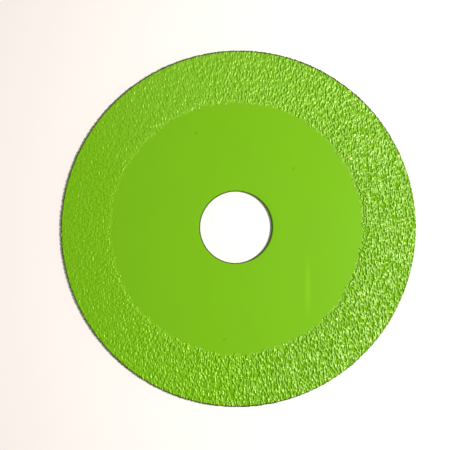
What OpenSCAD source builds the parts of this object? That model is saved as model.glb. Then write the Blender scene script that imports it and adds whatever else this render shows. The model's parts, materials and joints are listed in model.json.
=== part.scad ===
// Glass cutting disc: a thin steel blank with a round bore, and a band of grit brazed over
// the outer part of both faces and round the rim.
// The disc lies flat. Z is the bore's axis, and the origin is the bore's centre at mid thickness.
// All lengths are in millimetres.

/* [Disc] */
// Outer diameter over the tallest grains of the rim
disc_d = 100; // [90:1:130]
// Thickness of the steel blank
blank_t = 0.8; // [0.6:0.05:1.6]

/* [Bore] */
// Diameter of the bore that the spindle passes through
bore_d = 20; // [10:0.5:32]
// Bevel left by stamping at each edge of the bore
bore_bevel = 0.1; // [0.02:0.01:0.2]

/* [Grit band] */
// Width of the band on each face, from the rim inwards
band_w = 15; // [8:0.5:20]
// Height of the tallest grains above the blank's face
grain_h = 0.2; // [0.12:0.01:0.4]
// Height of the braze between the grains, above the blank's face
braze_h = 0.05; // [0.02:0.01:0.09]
// How far the tallest grains stand out past the blank's edge
rim_grain_h = 0.3; // [0.15:0.01:0.6]
// Height of the braze between the grains of the rim, above the blank's edge
rim_braze_h = 0.12; // [0.05:0.01:0.14]
// How far the band's inner edge wanders in and out
edge_wander = 0.35; // [0:0.05:0.6]
// Width over which the band rises from the blank's face at its inner edge
edge_run = 0.25; // [0.1:0.05:0.8]

/* [Grains] */
// Grains counted round the rim
grain_columns = 200; // [120:1:220]
// Rings of grains on each face
grain_rows = 9; // [5:1:9]
// Share of the places that hold a tall grain
grain_share = 0.5; // [0.3:0.05:0.7]
// How far a grain lies off its even place, as a share of the spacing
grain_scatter = 0.3; // [0:0.05:0.3]
// Start of the scatter pattern
grain_seed = 11; // [1:1:99]

/* [Hidden] */

// Lime green paint, the same on the steel and on the grit
paint = [0.50, 0.76, 0.12];
blank_facets = 180;

// Radii of the steel blank
bore_r = bore_d / 2;
blank_r = disc_d / 2 - rim_grain_h;
half_t = blank_t / 2;

// Even spacing of the grains round the rim and from ring to ring
column_step = 360 / grain_columns;
band_inner_r = disc_d / 2 - band_w;
first_row_r = band_inner_r + edge_wander + edge_run;
row_step = (blank_r - first_row_r) / grain_rows;

// The seat on the blank's edge has flat sides, so it goes round the edge from outside
seat_r = blank_r / cos(column_step / 2);

// Rings of points in one section of the band: the front face, the rim, the back face and the seat
face_rings = grain_rows + 2;
rim_rings = 3;
seat_rings = 2;
first_rim = face_rings;
first_back = first_rim + rim_rings;
first_seat = first_back + face_rings;
rings = first_seat + seat_rings;
points = rings * grain_columns;

// One random number for each point and each use
grain_picks = rands(0, 1, points, grain_seed);
height_picks = rands(0, 1, points, grain_seed + 1);
radial_picks = rands(-1, 1, points, grain_seed + 2);
round_picks = rands(-1, 1, points, grain_seed + 3);

// A tall grain has 0.7 to 1.2 of the full height, cut off at the full height, so that many
// grains share one level. What lies between the grains is 0 to 0.35 of the way up from the braze.
tall_from = 0.7;
tall_to = 1.2;
low_to = 0.35;

// The rim's two corners stand out by this share of what its middle does
corner_share = 0.75;

// Share of the way from the braze to the tallest grains, at one point
function rise(n) =
    grain_picks[n] < grain_share
        ? min(1, tall_from + (tall_to - tall_from) * height_picks[n])
        : low_to * height_picks[n];

// Height above the blank's face, and how far the rim stands out past the blank's edge
function face_h(n) = braze_h + (grain_h - braze_h) * rise(n);
function rim_h(n) = rim_braze_h + (rim_grain_h - rim_braze_h) * rise(n);

// Radius of a point on a face. Ring 0 is the band's wandering inner edge, ring 1 the grains
// that stand along it, and the last ring the outermost.
function face_r(ring, n) =
    ring == 0
        ? band_inner_r + edge_wander * radial_picks[n]
        : ring == 1
        ? first_row_r
        : first_row_r + row_step * (ring - 1.5 + grain_scatter * radial_picks[n]);

// Point of a face, as radius and height. side is 1 on the front and -1 on the back.
function face_point(ring, n, side) =
    [face_r(ring, n), side * (half_t + (ring == 0 ? 0 : face_h(n)))];

// Point of the rim. The middle ring is the outline, and the other two round off its corners.
function rim_point(ring, n) =
    [blank_r + rim_h(n) * (ring == 1 ? 1 : corner_share), half_t * (1 - ring)];

// Point of the whole section, going from the front face's inner edge round the rim and back
function section_point(ring, n) =
    ring < first_rim ? face_point(ring, n, 1)
        : ring < first_back ? rim_point(ring - first_rim, n)
        : ring < first_seat ? face_point(first_seat - 1 - ring, n, -1)
        : [seat_r, ring == first_seat ? -half_t : half_t];

// Scatter round the disc, left out on the seat, whose corners stay even
function round_scatter(ring, n) =
    ring < first_seat ? grain_scatter * round_picks[n] : 0;

// Every second ring is turned by half a spacing, so the grains lie as in a honeycomb
function shift(ring) = (ring % 2) / 2;

function place(ring, column) =
    let (
        n = ring * grain_columns + column,
        p = section_point(ring, n),
        a = column_step * (column + shift(ring) + round_scatter(ring, n))
    )
    [p[0] * cos(a), p[0] * sin(a), p[1]];

// Number of the point at a ring and a column, both counted on past their ends
function number(ring, column) =
    (ring % rings) * grain_columns + column % grain_columns;

// Two triangles between this point, the next column and the next ring
function cell(ring, column) =
    let (
        here = number(ring, column),
        beside = number(ring, column + 1),
        next = number(ring + 1, column),
        next_beside = number(ring + 1, column + 1)
    )
    ring % 2 == 0
        ? [[here, beside, next], [beside, next_beside, next]]
        : [[here, beside, next_beside], [here, next_beside, next]];

module steel_blank() {
    color(paint)
        rotate_extrude($fn = blank_facets)
            polygon([
                [bore_r, -half_t + bore_bevel],
                [bore_r + bore_bevel, -half_t],
                [blank_r, -half_t],
                [blank_r, half_t],
                [bore_r + bore_bevel, half_t],
                [bore_r, half_t - bore_bevel],
            ]);
}

module grit_band() {
    color(paint)
        polyhedron(
            points = [
                for (ring = [0 : rings - 1])
                    for (column = [0 : grain_columns - 1])
                        place(ring, column)
            ],
            faces = [
                for (ring = [0 : rings - 1])
                    for (column = [0 : grain_columns - 1])
                        each cell(ring, column)
            ]
        );
}

steel_blank();
grit_band();
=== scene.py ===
# %% [markdown]
# A glass cutting disc: a thin painted steel blank with a round bore, and a band of diamond grit
# brazed over the outer part of both faces and round the rim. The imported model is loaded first.
# It is a fixed frame in metres: the disc lies flat, Z is the bore's axis, and the origin is the
# bore's centre at mid thickness. Every piece below is worked out from the sizes read here, so it
# lands where the model says with nothing to fit afterwards.

import json
from math import radians

import bpy
import numpy as np
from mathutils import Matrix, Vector


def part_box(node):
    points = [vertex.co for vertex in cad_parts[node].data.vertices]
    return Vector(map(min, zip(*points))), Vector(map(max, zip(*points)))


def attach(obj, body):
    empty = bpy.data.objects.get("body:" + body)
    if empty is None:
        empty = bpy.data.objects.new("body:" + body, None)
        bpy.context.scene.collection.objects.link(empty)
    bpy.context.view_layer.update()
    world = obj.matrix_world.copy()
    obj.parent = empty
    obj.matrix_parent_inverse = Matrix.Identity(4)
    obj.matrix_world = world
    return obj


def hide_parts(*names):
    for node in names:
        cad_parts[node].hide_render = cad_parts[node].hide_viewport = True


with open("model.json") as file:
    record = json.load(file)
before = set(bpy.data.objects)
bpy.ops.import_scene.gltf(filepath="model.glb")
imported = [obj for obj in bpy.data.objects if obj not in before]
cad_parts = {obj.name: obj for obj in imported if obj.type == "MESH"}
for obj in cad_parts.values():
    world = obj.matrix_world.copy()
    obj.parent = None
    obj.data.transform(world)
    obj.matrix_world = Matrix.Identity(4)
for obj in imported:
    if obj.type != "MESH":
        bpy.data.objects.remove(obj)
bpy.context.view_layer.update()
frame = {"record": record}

# %% [markdown]
# Sizes come in two kinds. Some are read from the frame: the bore from its mount, the blank's
# radius and thickness and the band's outline from their boxes. The others are too fine for the
# solids and are given here in millimetres, such as the size of one grain.

# %% Read the sizes
MM = 0.001
mount = frame["record"]["mounts"][0]
bore_r = mount["dims"]["r_mm"] * MM
blank_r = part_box("steel_blank")[1].x
half_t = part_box("steel_blank")[1].z
disc_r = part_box("grit_band")[1].x
disc_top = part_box("grit_band")[1].z
grit_h = disc_top - half_t
rim_h = disc_r - blank_r
band_w = 15 * MM
band_inner_r = disc_r - band_w
bore_wall = mount["dims"]["length_mm"] * MM
print("bore radius", bore_r / MM, "blank radius", blank_r / MM, "grit height", grit_h / MM)

# %% [markdown]
# The camera comes before any shape, because it decides how much detail can show. The disc is
# seen almost from straight above. Its outline is an ellipse only half a percent off round, which
# is a lean of about seven degrees, and the bore sits a little left of the outline's centre, which
# happens when the right-hand edge is nearer to the lens. So the camera leans to the right and a
# little to the front, and its top edge stays turned towards +Y.

# %% Place the camera
CAMERA_LEAN = radians(7.1)
CAMERA_TURN = radians(60)
CAMERA_DISTANCE = 340 * MM
CAMERA_AIM = Vector((-3.0, 0.65, 0)) * MM
FRAME_WIDTH = 125.95 * MM


def direction(turn, lean):
    """Unit vector that leans away from +Z, towards the side that turn names: 0 is -Y and 90 is +X."""
    return Vector((np.sin(turn) * np.sin(lean), -np.cos(turn) * np.sin(lean), np.cos(lean)))


def aim_matrix(place, target, top=(0, 1, 0)):
    """Matrix of a thing at place whose -Z axis points at target and whose Y axis is as near top as can be."""
    back = (place - target).normalized()
    right = Vector(top).cross(back).normalized()
    matrix = np.eye(4)
    matrix[:3, 0], matrix[:3, 1], matrix[:3, 2] = right, back.cross(right), back
    matrix[:3, 3] = place
    return matrix.T


camera_data = bpy.data.cameras.new("camera")
camera = bpy.data.objects.new("camera", camera_data)
bpy.context.scene.collection.objects.link(camera)
camera_place = CAMERA_AIM + direction(CAMERA_TURN, CAMERA_LEAN) * CAMERA_DISTANCE
camera.matrix_world = aim_matrix(camera_place, CAMERA_AIM)
camera_data.sensor_width = 36
camera_data.lens = camera_data.sensor_width * CAMERA_DISTANCE / FRAME_WIDTH
camera_data.clip_start = 0.01
bpy.context.scene.camera = camera
print("camera at", camera_place, "lens", round(camera_data.lens, 1), "mm")

# %% [markdown]
# Every shape here is a ring: an outline in a plane through the axis, carried once round it. That
# is a grid of points that closes both ways, so one helper makes all the meshes. It takes an array
# of points, rings by columns, and joins each point to its two neighbours with a quad. Numbering the
# corners with whole arrays is much faster than visiting 100,000 points one by one.

# %% Helper: a closed ring from a grid of points


def ring_mesh(name, points, flat_rings=(), own_place=None):
    """Closed mesh from points[ring, column].

    Quad (r, c) joins point (r, c) to (r, c+1), (r+1, c+1) and (r+1, c), and both counts wrap round. The quads
    that start at flat_rings are shaded flat. own_place, one vector for each point, becomes the attribute of
    that name, for patterns that follow the surface. The printed volume, a sixth of the sum of the triangles'
    triple products, is positive where faces point out.
    """
    rings, columns = points.shape[:2]
    index = np.arange(rings * columns).reshape(rings, columns)
    beside = np.roll(index, -1, axis=1)
    above = np.roll(index, -1, axis=0)
    above_beside = np.roll(above, -1, axis=1)
    quads = np.stack([index, beside, above_beside, above], axis=-1).reshape(-1, 4)
    mesh = bpy.data.meshes.new(name)
    mesh.vertices.add(rings * columns)
    mesh.vertices.foreach_set("co", points.reshape(-1).astype(np.float32))
    mesh.loops.add(quads.size)
    mesh.loops.foreach_set("vertex_index", quads.reshape(-1).astype(np.int32))
    mesh.polygons.add(len(quads))
    mesh.polygons.foreach_set("loop_start", np.arange(0, quads.size, 4, dtype=np.int32))
    mesh.update(calc_edges=True)
    smooth = np.ones((rings, columns), dtype=bool)
    smooth[list(flat_rings)] = False
    mesh.polygons.foreach_set("use_smooth", smooth.reshape(-1))
    if own_place is not None:
        attribute = mesh.attributes.new("own_place", "FLOAT_VECTOR", "POINT")
        attribute.data.foreach_set("vector", own_place.reshape(-1).astype(np.float32))
    thing = bpy.data.objects.new(name, mesh)
    bpy.context.scene.collection.objects.link(thing)
    a, b, c, d = points.reshape(-1, 3)[quads.T]
    volume = (np.einsum("ij,ij", a, np.cross(b, c)) + np.einsum("ij,ij", a, np.cross(c, d))) / 6
    state = "mended" if mesh.validate() else "valid"
    print(name, "has", 2 * len(quads), "triangles,", state, "volume in mm3", round(volume * 1e9, 1))
    return thing


def turned(radius, height, angle):
    """Points of a turned outline: (r cos a, r sin a, z), for arrays of radius, height and angle."""
    return np.stack([radius * np.cos(angle), radius * np.sin(angle), height], axis=-1)


# %% [markdown]
# The steel blank is punched from sheet and painted. Punching rolls the bore's upper edge over, and
# paint draws back from a sharp edge and gathers beside it, so the real bore has a soft, round lip
# and never a knife edge. The outline is therefore a flat face, a small quarter round at each end of
# the bore wall, and the outer edge, which the grit hides. All are short arcs and lines in one array.

# %% The painted steel blank
LIP_R = half_t - bore_wall / 2
BLANK_COLUMNS = 720
LIP_STEPS = 8
FACE_STEPS = 24


def blank_outline():
    """Radius and height round the blank's section: front lip, bore wall, back lip, back face, edge, front.

    A lip is a quarter circle: r = centre - R cos t, z = centre + R sin t, with t from 90 degrees to 0.
    """
    t = np.linspace(np.pi / 2, 0, LIP_STEPS)
    lip_r = bore_r + LIP_R - LIP_R * np.cos(t)
    lip_z = half_t - LIP_R + LIP_R * np.sin(t)
    face_r = np.linspace(bore_r + LIP_R, blank_r, FACE_STEPS)[1:]
    radius = np.concatenate([lip_r, lip_r[::-1], face_r, face_r[::-1]])
    face_z = np.full(face_r.size, half_t)
    height = np.concatenate([lip_z, -lip_z[::-1], -face_z, face_z])
    return radius, height


outline_r, outline_z = blank_outline()
blank_angle = np.arange(BLANK_COLUMNS) * 2 * np.pi / BLANK_COLUMNS
grid_shape = (outline_r.size, BLANK_COLUMNS)
blank_points = turned(
    np.broadcast_to(outline_r[:, None], grid_shape),
    np.broadcast_to(outline_z[:, None], grid_shape),
    np.broadcast_to(blank_angle, grid_shape),
)
painted_blank = ring_mesh("painted_blank", blank_points)
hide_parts("steel_blank")
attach(painted_blank, "root")

# %% [markdown]
# The grit band is what the eye goes to. Diamond grains about half a millimetre across are held in
# braze metal that wets them and draws neighbours together, and paint over both rounds them into
# lumps that join into short worms. Scattered separate grains would need thousands of objects, and
# noise alone gives clouds and not grains. So the height is worked out grain by grain: the surface
# is divided into cells, each cell holds one grain at a random place, and each point of the surface
# asks the nine cells round it how high their grains stand there.

# %% One set of grains
GRAIN_PITCH = 0.8 * MM
GRAIN_HALF_WIDTH = 0.36 * MM


def grain_set(seed, length):
    """Random grains for a strip from the band's inner edge outwards, in rings of cells one pitch wide.

    A ring holds the whole number of cells nearest to its circumference over the pitch, so grains keep their
    size. The inner rings keep a share of theirs, so that the band thins out there.
    """
    random = np.random.default_rng(seed)
    rings = int(np.ceil(length / GRAIN_PITCH)) + 2
    ring_r = band_inner_r + (np.arange(rings) - 0.5) * GRAIN_PITCH
    counts = np.round(2 * np.pi * ring_r / GRAIN_PITCH).astype(int)
    starts = np.concatenate([[0], np.cumsum(counts)[:-1]])
    total = int(counts.sum())
    kept = np.repeat(np.interp(np.arange(rings), [0, 1, 3], [0.2, 0.4, 1.0]), counts)
    heights = random.choice([0.0, 0.62, 0.8, 1.0], total, p=[0.1, 0.25, 0.35, 0.3])
    print("grains in one set", total)
    return {
        "counts": counts,
        "starts": starts,
        "across": random.uniform(-0.36, 0.36, total),
        "along": random.uniform(-0.36, 0.36, total),
        "height": heights * (random.random(total) < kept),
        "width": random.uniform(0.8, 1.25, total),
        "stretch": random.uniform(1.0, 1.9, total),
        "turn": random.normal(0, 0.45, total),
    }


def grain_height(grains, angle, along):
    """Height, 0 to 1, at angle and at distance along from the band's inner edge.

    Each grain is a dome, 1 - d squared, with d the distance from its centre in half widths, and the nine
    nearest domes are joined by the eighth root of the sum of their eighth powers, which fills the notch
    between two that touch.
    """
    ring_here = np.floor(along / GRAIN_PITCH).astype(int) + 1
    total = np.zeros_like(along)
    for ring_step in (-1, 0, 1):
        ring = np.clip(ring_here + ring_step, 0, grains["counts"].size - 1)
        count = grains["counts"][ring]
        cell_here = np.floor(angle / (2 * np.pi) * count).astype(int)
        for cell_step in (-1, 0, 1):
            cell = cell_here + cell_step
            n = grains["starts"][ring] + cell % count
            centre_angle = (cell + 0.5 + grains["across"][n]) * 2 * np.pi / count
            centre_along = (ring - 0.5 + grains["along"][n]) * GRAIN_PITCH
            x = (angle - centre_angle) * (band_inner_r + along)
            y = along - centre_along
            c, s = np.cos(grains["turn"][n]), np.sin(grains["turn"][n])
            size = GRAIN_HALF_WIDTH * grains["width"][n]
            d2 = ((c * x + s * y) / size) ** 2 + ((c * y - s * x) / (size * grains["stretch"][n])) ** 2
            dome = grains["height"][n] * np.clip(1 - d2, 0, None)
            total += dome**8
    return np.clip(total**0.125, 0, 1)


# %% [markdown]
# One section of the band runs from its inner edge out over the face, round the corner of the steel
# and down the rim to mid thickness. The grain height is added at right angles to the steel, so the
# direction turns from straight up to straight out in the corner. Inside, the section comes back
# along the steel itself, which closes the ring. A front and a back half with their own grains meet
# at mid thickness, where both follow the same grains of the rim.

# %% The two halves of the grit band
BAND_COLUMNS = 1400
FACE_RINGS = 60
CORNER_RINGS = 5
RIM_RINGS = 3
CORNER_R = 0.16 * MM
SEAT_QUADS = {1: (0, 1, -1), -1: (-3, -2, -1)}
BRAZE_SHARE = 0.12
EDGE_RISE = 2.0 * MM
THIN_ANGLE = radians(-16)
FIRST_STEP = 0.01 * MM
EDGE_WANDER = 0.3 * MM
BOX_MARGIN = 0.002 * MM


def smooth(x):
    """Smooth step from 0 to 1: 3x squared minus 2x cubed, flat at both ends."""
    x = np.clip(x, 0, 1)
    return x * x * (3 - 2 * x)


def wave_sum(angle, seed, waves):
    """A closed wandering line, about -1 to 1: sines with these whole numbers of waves, at random phases."""
    random = np.random.default_rng(seed)
    phase = random.uniform(0, 2 * np.pi, len(waves))
    return sum(np.sin(w * angle + p) for w, p in zip(waves, phase)) / np.sqrt(len(waves))


def band_half(name, side, seed):
    """One half of the band: side is 1 for the front and -1 for the back."""
    face_length = blank_r - band_inner_r
    path_length = face_length + half_t
    along = np.concatenate([
        [0],
        np.linspace(FIRST_STEP, face_length - CORNER_R, FACE_RINGS - 1),
        np.linspace(face_length - CORNER_R, face_length + CORNER_R, CORNER_RINGS + 1)[1:],
        np.linspace(face_length + CORNER_R, path_length, RIM_RINGS + 1)[1:],
    ])
    angle = np.arange(BAND_COLUMNS) * 2 * np.pi / BAND_COLUMNS
    along, angle = np.meshgrid(along, angle, indexing="ij")
    height = grain_height(grain_set(seed, path_length), angle, along)
    # the rim's middle line is the same on both halves: it takes its height from a set that they share
    shared = grain_height(rim_grains, angle, np.full_like(along, RIM_LINE))
    to_middle = smooth((along - face_length) / half_t)
    height = height * (1 - to_middle) + shared * to_middle
    rise = smooth(along / EDGE_RISE)
    lift = BRAZE_SHARE + (1 - BRAZE_SHARE) * height
    outward = smooth((along - face_length + CORNER_R) / (2 * CORNER_R))
    # on the thick side of the coat the grains of the face are nearly drowned
    bare = 0.55 + 0.15 * np.cos(angle - THIN_ANGLE)
    face_lift = BRAZE_SHARE + (1 - BRAZE_SHARE) * height * bare
    reach = ((grit_h - BOX_MARGIN) * (1 - outward) * face_lift + (rim_h - BOX_MARGIN) * outward * lift) * rise
    # the inner edge wanders, and the wander dies out over the first grains
    wander = EDGE_WANDER * wave_sum(angle, seed, (7, 23, 61, 113, 197))
    wander = wander * (1 - smooth(along / (3 * GRAIN_PITCH)))
    steel_r = np.minimum(band_inner_r + along + wander, blank_r)
    steel_z = half_t - np.clip(along - face_length, 0, None)
    lean = outward * np.pi / 2
    radius = np.minimum(steel_r + reach * np.sin(lean), disc_r - BOX_MARGIN)
    z = steel_z + reach * np.cos(lean)
    z[-1] = 0
    column_angle = angle[:1]
    seat_r = np.full_like(column_angle, blank_r / np.cos(np.pi / BAND_COLUMNS))
    radius = np.concatenate([radius, seat_r, seat_r])
    z = np.concatenate([z, np.zeros_like(seat_r), np.full_like(seat_r, half_t)])
    angle = np.concatenate([angle, column_angle, column_angle])
    # the surface's own coordinates stand on a tube as wide as the band's middle: their height is the way out
    out = np.concatenate([along, np.full((2, BAND_COLUMNS), path_length)])
    own_place = turned(np.full_like(out, band_inner_r + band_w / 2), out, angle)
    return ring_mesh(name, turned(radius, side * z, angle)[::-side], SEAT_QUADS[side], own_place[::-side])


RIM_LINE = 4.5 * GRAIN_PITCH
rim_grains = grain_set(5, 8 * GRAIN_PITCH)
grit_front = band_half("grit_front", 1, 11)
grit_back = band_half("grit_back", -1, 29)
for grit in (grit_front, grit_back):
    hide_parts("grit_band")
    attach(grit, "root")

# %% [markdown]
# Now the finishes. Two helpers keep them short. One turns a colour as a designer writes it, six hex
# digits in sRGB, into the linear numbers that a renderer adds up. The other adds one node, sets its
# inputs and joins it to others, so each line of a material reads as one step of how it is made.
# Settings that come back often get a name: a smooth step, a mix of colours, a product, and how far
# one vector goes along another.

# %% Helpers: colour and nodes
SMOOTH_STEP = {"interpolation_type": "SMOOTHSTEP"}
OF_COLOURS = {"data_type": "RGBA"}
PRODUCT = {"operation": "MULTIPLY"}
SUM = {"operation": "ADD"}
ALONG = {"operation": "DOT_PRODUCT"}
DISTANCE = {"operation": "DISTANCE"}


def linear(hex_colour):
    """sRGB hex digits to linear red, green, blue and alpha.

    Below 0.04045 divide by 12.92, above it take ((c + 0.055) / 1.055) to the power 2.4.
    """
    c = np.array([int(hex_colour[i:i + 2], 16) for i in (0, 2, 4)]) / 255
    rgb = np.where(c <= 0.04045, c / 12.92, ((c + 0.055) / 1.055) ** 2.4)
    return (*rgb.tolist(), 1.0)


def add(material, kind, settings=None, **inputs):
    """Add a node of that kind. settings are its own properties.

    inputs are its sockets, by name or as i and a number. Each is given as a value, as a colour's hex digits,
    as another node's output, or as another node, which stands for its first output in use.
    """
    node = material.node_tree.nodes.new("ShaderNode" + kind)
    for key, value in (settings or {}).items():
        setattr(node, key, value)
    for key, value in inputs.items():
        numbered = key[0] == "i" and key[1:].isdigit()
        socket = node.inputs[int(key[1:])] if numbered else node.inputs[key.replace("_", " ")]
        if isinstance(value, str):
            value = linear(value)
        if isinstance(value, bpy.types.Node):
            value = next(output for output in value.outputs if output.enabled)
        if isinstance(value, bpy.types.NodeSocket):
            material.node_tree.links.new(value, socket)
        else:
            socket.default_value = value
    return node


def new_material(name):
    """An empty node material."""
    material = bpy.data.materials.new(name)
    material.use_nodes = True
    material.node_tree.nodes.clear()
    return material


def way(angle):
    """Unit vector in the disc's plane: cos a, sin a, 0."""
    return (np.cos(angle), np.sin(angle), 0.0)


# %% [markdown]
# The paint is a lime green enamel, sprayed on and baked: a binder with an index of refraction near
# 1.5 over a strong pigment, so it has a clear white gloss on a saturated body. Use has left three
# faint rubs and one pale upright streak on the hub, and each is the distance from its middle, turned
# into a share by a smooth step. Round the bore the paint draws back from the punched edge, and a thin
# dark line shows there, partly bare steel and partly painted shadow, which is why it is wider on the
# right: the distance from the bore over the line's own width.

# %% The rubs, the streak and the bore's dark line of steel and painted shadow
SMUDGES = ((-11.1, 26.7), (16.2, 16.3), (-3.1, -31.2))
SMUDGE_R = 0.7 * MM
SMUDGE_TONE = "70B212"
STREAK_PLACE = (20.1 * MM, -16.6 * MM, half_t)
STREAK_SCALE = (1 / (1.3 * MM), 1 / (11 * MM), 1 / (0.6 * MM))
STREAK_TONE = "86CA18"
# the dark lip colour is bare steel and painted shadow
LIP_STEEL_AND_SHADOW = "30500A"
LIP_NARROW = 0.3 * MM
LIP_WIDE = 0.62 * MM


def rubbed(m, place, tone):
    """The tone with its rubs and its streak, each fading out from its middle. They lie on the front only."""
    for x, y in SMUDGES:
        away = add(m, "VectorMath", DISTANCE, i0=place, i1=(x * MM, y * MM, half_t))
        rub = add(m, "MapRange", SMOOTH_STEP, Value=away, From_Min=SMUDGE_R, From_Max=0.0)
        tone = add(m, "Mix", OF_COLOURS, Factor=rub, i6=tone, i7=SMUDGE_TONE)
    from_middle = add(m, "VectorMath", {"operation": "SUBTRACT"}, i0=place, i1=STREAK_PLACE)
    in_halves = add(m, "VectorMath", PRODUCT, i0=from_middle, i1=STREAK_SCALE)
    away = add(m, "VectorMath", {"operation": "LENGTH"}, i0=in_halves)
    streak = add(m, "MapRange", SMOOTH_STEP, Value=away, From_Min=1.0, From_Max=0.0)
    return add(m, "Mix", OF_COLOURS, Factor=streak, i6=tone, i7=STREAK_TONE)


def with_lip_and_shadow(m, place, tone):
    """The tone with a dark line of bare steel and painted shadow round the bore, wider towards the right."""
    flat = add(m, "VectorMath", PRODUCT, i0=place, i1=(1.0, 1.0, 0.0))
    radius = add(m, "VectorMath", {"operation": "LENGTH"}, i0=flat)
    past_bore = add(m, "Math", {"operation": "SUBTRACT"}, i0=radius, i1=bore_r)
    # painted shadow: the line widens towards the right, where the bore's right edge casts its shadow
    width = add(
        m, "MapRange", Value=add(m, "SeparateXYZ", Vector=place).outputs["X"],
        From_Min=0.3 * bore_r, From_Max=bore_r, To_Min=LIP_NARROW, To_Max=LIP_WIDE,
    )
    in_widths = add(m, "Math", {"operation": "DIVIDE"}, i0=past_bore, i1=width)
    lip = add(m, "MapRange", SMOOTH_STEP, Value=in_widths, From_Min=1.2, From_Max=0.5)
    return add(m, "Mix", OF_COLOURS, Factor=lip, i6=tone, i7=LIP_STEEL_AND_SHADOW)


# %% [markdown]
# A sprayed film is never quite level. It has a faint orange peel, waves one to two millimetres long
# and a few thousandths high, which shows only where a light grazes it, and its thickness drifts in
# soft clouds some fourteen millimetres wide, which moves the colour and the gloss a little.

# %% The enamel on the flat steel
PAINT = "80C410"
PAINT_DEEP = "7DBD18"
PEEL_LENGTH = 1.6 * MM
PEEL_HEIGHT = 0.004 * MM
CLOUD_LENGTH = 14 * MM


def sprayed_enamel():
    """Enamel on flat steel: colour and roughness by a soft cloud of film thickness, orange peel as bump."""
    m = new_material("sprayed_enamel")
    place = add(m, "TexCoord").outputs["Object"]
    cloud = add(m, "TexNoise", Vector=place, Scale=1 / CLOUD_LENGTH, Detail=3.0, Roughness=0.55)
    tone = add(m, "Mix", OF_COLOURS, Factor=cloud, i6=PAINT, i7=PAINT_DEEP)
    tone = with_lip_and_shadow(m, place, rubbed(m, place, tone))
    peel = add(m, "TexNoise", Vector=place, Scale=1 / PEEL_LENGTH, Detail=2.0, Roughness=0.5)
    bump = add(m, "Bump", Strength=1.0, Distance=PEEL_HEIGHT, Height=peel)
    shine = add(m, "MapRange", Value=cloud, To_Min=0.2, To_Max=0.26)
    shader = add(
        m, "BsdfPrincipled", IOR=1.5, Specular_IOR_Level=0.4,
        Roughness=shine, Base_Color=tone, Normal=bump,
    )
    add(m, "OutputMaterial", Surface=shader)
    print(m.name, "has", len(m.node_tree.nodes), "nodes")
    return m


painted_blank.data.materials.append(sprayed_enamel())

# %% [markdown]
# Over the grit the same enamel looks quite different, because what lies under it is so rough. Braze
# and paint join the grains into short strokes, half a millimetre wide and twice as long. They come
# from two noises that are added up. One is stretched along the disc's Y axis. The other is
# stretched outwards from the centre, in the tube coordinates that the mesh carries. The sum runs
# mostly upright and fans out a little. Its strokes are finer than the mesh, so they are bump.

# %% The strokes of the grit
LUMP_WIDTH = 0.46 * MM
DRAWN_LENGTH = 0.95 * MM
DRAWN_WAY = radians(-5)
RUN_WIDTH = 0.66 * MM
RUN_LENGTH = 1.2 * MM


def strokes(m, coordinates, place):
    """Node with the sum, about 0.5 to 1.5, of a noise stretched upright and a noise stretched outwards."""
    turned_back = add(m, "Mapping", Vector=coordinates, Rotation=(0.0, 0.0, DRAWN_WAY))
    drawn = add(m, "Mapping", Vector=turned_back, Scale=(1 / LUMP_WIDTH, 1 / DRAWN_LENGTH, 1 / LUMP_WIDTH))
    run = add(m, "Mapping", Vector=place, Scale=(1 / RUN_WIDTH, 1 / RUN_WIDTH, 1 / RUN_LENGTH))
    upright = add(m, "TexNoise", Vector=drawn, Scale=1.0, Detail=0.0)
    outwards = add(m, "TexNoise", Vector=run, Scale=1.0, Detail=0.0, Distortion=0.4)
    return add(m, "Math", SUM, i0=upright, i1=outwards)


# %% [markdown]
# The coat isn't even. It is thin on the right, where the strokes stand out, and thick on the left,
# where it nearly drowns them. So the strokes' height is multiplied by a share that grows from left
# to right. It also grows from nothing at the band's inner edge, along a line that a noise makes
# uneven, because the paint runs smoothly from the hub into the first hollows. The thin side is also
# given a paler green further on, which is painted sheen of the lamp that lights that side.

# %% How much of the strokes shows
PATCH_LENGTH = 1.5 * MM
THICK_SHARE = 0.36
THIN_SHARE = 1.3
SHARE_POWER = 1.3
COAT_REACH = 45 * MM


def coat_thinness(m, coordinates):
    """Node that goes from 0 where the coat is thickest to 1 where it is thinnest."""
    side = add(m, "VectorMath", ALONG, i0=coordinates, i1=way(THIN_ANGLE))
    return add(m, "MapRange", Value=side, From_Min=-COAT_REACH, From_Max=COAT_REACH)


def relief_share(m, coat, out, place):
    """Node with the share of the strokes' height that shows.

    It is a power of the coat's thinness, spread from thick to thin, times a smooth step at the edge.
    """
    curved = add(m, "Math", {"operation": "POWER"}, i0=coat, i1=SHARE_POWER)
    share = add(m, "MapRange", Value=curved, To_Min=THICK_SHARE, To_Max=THIN_SHARE)
    patch = add(m, "TexNoise", Vector=place, Scale=1 / PATCH_LENGTH, Detail=2.0)
    shift = add(m, "Math", {"operation": "MULTIPLY_ADD"}, i0=patch, i1=-3 * MM, i2=1.6 * MM)
    inwards = add(m, "Math", SUM, i0=out, i1=shift)
    edge = add(m, "MapRange", SMOOTH_STEP, Value=inwards, From_Min=0.1 * MM, From_Max=1.1 * MM)
    return add(m, "Math", PRODUCT, i0=share, i1=edge)


# %% [markdown]
# The paint's colour is drawn in layers, and most of them are painted light. The hollows are given
# a deeper green, which is painted shade. The right side, and the upper right more, is given a paler
# green, which is painted sheen of the lamp that stands on the right. The side of a stroke that faces
# left, away from the lamp, is given a dark green, which is painted shade. Paint draws back from the
# rim, and a dark line there is drawn mostly as painted shade of the edge, fainter on the lit right.

# %% The colours of the coat, with painted sheen and painted shade
FACE_END = blank_r - band_inner_r
# the deep hollow green is painted shade
HOLLOW_SHADE = "6EAE06"
# the two pale greens are painted sheen of the lamp on the lit right side
LIT_SIDE_PALE = "94CC3A"
LIT_SHEEN = "A0D450"
SHEEN_ANGLE = radians(40)
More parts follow.
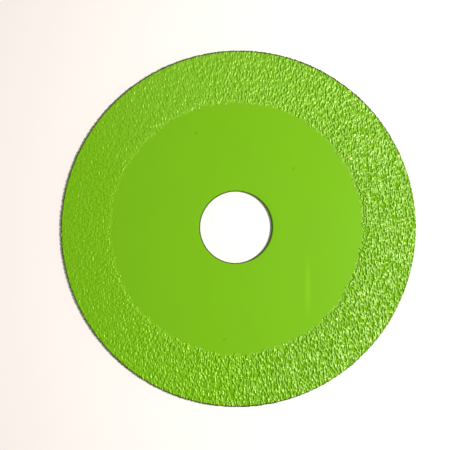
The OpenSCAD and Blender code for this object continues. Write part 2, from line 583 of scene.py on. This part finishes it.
# the dark lee green is painted shade on the sides that face away from the lamp
LEE_SHADE = "4E8C06"
AWAY_FROM_LAMP = radians(180)
# the dark rim green is mostly painted shade of the edge
RIM_SHADE = "2C4A06"


def tone_sheen_and_shade(m, coordinates, coat, hollow_shade):
    """Node with the paint's colour: painted sheen on the lit side, painted shade in the hollows."""
    # painted sheen: the lit right side, and the upper right more, are given a paler green
    thin = add(m, "MapRange", Value=coat, From_Min=0.6, From_Max=1.0)
    body = add(m, "Mix", OF_COLOURS, Factor=thin, i6=PAINT, i7=LIT_SIDE_PALE)
    sheen_side = add(m, "VectorMath", ALONG, i0=coordinates, i1=way(SHEEN_ANGLE))
    sheen = add(m, "MapRange", Value=sheen_side, From_Min=-20 * MM, From_Max=COAT_REACH, To_Max=0.4)
    sheened = add(m, "Mix", OF_COLOURS, Factor=sheen, i6=body, i7=LIT_SHEEN)
    return add(m, "Mix", OF_COLOURS, Factor=hollow_shade, i6=sheened, i7=HOLLOW_SHADE)


def with_painted_shade(m, tone, coat, out, bump):
    """Node with painted shade: darker on sides that face away from the lamp and in a line along the rim."""
    # painted shade: slopes that face left, away from the lamp, are given a dark green
    facing_away = add(m, "VectorMath", ALONG, i0=bump, i1=way(AWAY_FROM_LAMP))
    away_shade = add(m, "MapRange", SMOOTH_STEP, Value=facing_away, From_Min=0.02, From_Max=0.4)
    away_shade_share = add(m, "MapRange", Value=coat, From_Min=0.1, From_Max=0.6, To_Min=0.25, To_Max=1.0)
    away_shade_mix = add(m, "Math", PRODUCT, i0=away_shade, i1=away_shade_share)
    tone = add(m, "Mix", OF_COLOURS, Factor=away_shade_mix, i6=tone, i7=LEE_SHADE)
    # painted shade along the rim's edge, partly where paint draws back, fainter on the lit right
    rim = add(
        m, "MapRange", SMOOTH_STEP, Value=out,
        From_Min=FACE_END - 0.34 * MM, From_Max=FACE_END - 0.1 * MM,
    )
    rim_share = add(m, "MapRange", Value=coat, From_Min=0.75, From_Max=0.95, To_Min=1.0, To_Max=0.3)
    rim_shade = add(m, "Math", PRODUCT, i0=rim, i1=rim_share)
    return add(m, "Mix", OF_COLOURS, Factor=rim_shade, i6=tone, i7=RIM_SHADE)


# %% [markdown]
# Together these make the enamel over the grit. Its gloss glints on the strokes' tops. Where the coat
# is thin it is smoother and its gloss nearly white. Where it is thick its gloss takes on some of the
# green. In the hollows the gloss is tinted dark, which is painted shade on the reflection.

# %% The enamel over the grit
LUMP_HEIGHT = 0.21 * MM
TOP_GLOSS = "F6FFC4"
THICK_GLOSS = "E2FF8C"
# the dark hollow gloss tint is painted shade on the reflection
SHADED_HOLLOW_GLOSS = "3C5000"
THIN_ROUGHNESS = 0.26
THICK_ROUGHNESS = 0.37


def enamel_over_grit():
    """Enamel over brazed grit: strokes as bump, with the colour, the gloss and the roughness of the coat."""
    m = new_material("enamel_over_grit")
    coordinates = add(m, "TexCoord").outputs["Object"]
    place = add(m, "Attribute", {"attribute_name": "own_place"}).outputs["Vector"]
    out = add(m, "SeparateXYZ", Vector=place).outputs["Z"]
    coat = coat_thinness(m, coordinates)
    relief = relief_share(m, coat, out, place)
    lumps = strokes(m, coordinates, place)
    dome = add(m, "MapRange", SMOOTH_STEP, Value=lumps, From_Min=0.6, From_Max=1.4)
    height = add(m, "Math", PRODUCT, i0=dome, i1=relief)
    bump = add(m, "Bump", Strength=1.0, Distance=LUMP_HEIGHT, Height=height)
    # painted shade: the hollows between strokes get a deeper green and a darker gloss
    depth = add(m, "MapRange", SMOOTH_STEP, Value=lumps, From_Min=0.7, From_Max=1.05, To_Min=1.0, To_Max=0.0)
    hollow_shade = add(m, "Math", PRODUCT, i0=depth, i1=relief)
    tone = with_painted_shade(m, tone_sheen_and_shade(m, coordinates, coat, hollow_shade), coat, out, bump)
    thin = add(m, "MapRange", Value=coat, From_Min=0.6, From_Max=1.0)
    top_gloss = add(m, "Mix", OF_COLOURS, Factor=thin, i6=THICK_GLOSS, i7=TOP_GLOSS)
    gloss = add(m, "Mix", OF_COLOURS, Factor=hollow_shade, i6=top_gloss, i7=SHADED_HOLLOW_GLOSS)
    shine = add(
        m, "MapRange", Value=coat, From_Min=0.4, From_Max=0.95,
        To_Min=THICK_ROUGHNESS, To_Max=THIN_ROUGHNESS,
    )
    shader = add(
        m, "BsdfPrincipled", IOR=1.5, Specular_IOR_Level=1.0,
        Roughness=shine, Specular_Tint=gloss, Base_Color=tone, Normal=bump,
    )
    add(m, "OutputMaterial", Surface=shader)
    print(m.name, "has", len(m.node_tree.nodes), "nodes")
    return m


grit_enamel = enamel_over_grit()
for grit in (grit_front, grit_back):
    grit.data.materials.append(grit_enamel)

# %% [markdown]
# The stage is a plain sheet of white paper and soft light. One small soft lamp stands straight to
# the right, 29 degrees down from overhead, and near enough that the right side of the disc sees it
# steeply and the left side at a slant. That gives glints on the right and a calm left side, and the
# paper darkens a little towards the left. The world fills in the rest. It is white at the horizon,
# where it shows in the gloss of steep slopes, and dark overhead, so that the flat hub mirrors little
# and keeps its colour. Far from the lamp the paper would go grey, which shows only in low views, so
# there it gets more of its own light, for the lens and for gloss alone.

# %% The stage, the lamp and the world
PAPER = "FFF6EF"
FLOOR_SIZE = 4.0
LIFT_NEAR = 0.14
LIFT_FAR = 0.8
KEY = {"turn": 88, "lean": 29, "distance": 380 * MM, "size": 80 * MM, "watts": 1.42}
ZENITH_LEVEL = 0.12
HORIZON_LEVEL = 1.0


def paper():
    """White paper: matt, and lifted by a light of its own for the lens, which grows with the distance."""
    m = new_material("paper")
    matt = add(m, "BsdfDiffuse", Color=PAPER)
    distance = add(m, "VectorMath", {"operation": "LENGTH"}, i0=add(m, "TexCoord").outputs["Object"])
    level = add(
        m, "MapRange", Value=distance,
        From_Min=0.15, From_Max=0.9, To_Min=LIFT_NEAR, To_Max=LIFT_FAR,
    )
    lift = add(m, "Emission", Color=PAPER, Strength=level)
    path = add(m, "LightPath")
    lens_or_gloss = add(
        m, "Math", {"operation": "MAXIMUM"},
        i0=path.outputs["Is Camera Ray"], i1=path.outputs["Is Glossy Ray"],
    )
    both = add(m, "AddShader", i0=matt, i1=lift)
    add(m, "OutputMaterial", Surface=add(m, "MixShader", i0=lens_or_gloss, i1=matt, i2=both))
    return m


floor_mesh = bpy.data.meshes.new("floor")
half_floor = FLOOR_SIZE / 2
corners = [(-1, -1), (1, -1), (1, 1), (-1, 1)]
floor_points = [(x * half_floor, y * half_floor, -disc_top) for x, y in corners]
floor_mesh.from_pydata(floor_points, [], [(0, 1, 2, 3)])
floor = bpy.data.objects.new("floor", floor_mesh)
floor.data.materials.append(paper())
bpy.context.scene.collection.objects.link(floor)


def soft_lamp(name, turn, lean, distance, size, watts):
    """A round soft lamp of that width, aimed at the disc's centre. turn and lean are in degrees."""
    data = bpy.data.lights.new(name, "AREA")
    data.shape = "DISK"
    data.size = size
    data.energy = watts
    lamp = bpy.data.objects.new(name, data)
    bpy.context.scene.collection.objects.link(lamp)
    place = direction(radians(turn), radians(lean)) * distance
    lamp.matrix_world = aim_matrix(place, Vector((0, 0, 0)))
    print(name, "at", place)


soft_lamp("key", **KEY)

world = bpy.data.worlds.new("studio")
bpy.context.scene.world = world
world.use_nodes = True
world.node_tree.nodes.clear()
world_way = add(world, "TexCoord").outputs["Generated"]
world_level = add(
    world, "MapRange", SMOOTH_STEP, Value=add(world, "SeparateXYZ", Vector=world_way).outputs["Z"],
    From_Min=0.0, From_Max=0.45, To_Min=HORIZON_LEVEL, To_Max=ZENITH_LEVEL,
)
add(world, "OutputWorld", Surface=add(world, "Background", Color="FFFFFF", Strength=world_level))
bpy.context.scene.view_settings.view_transform = "Standard"
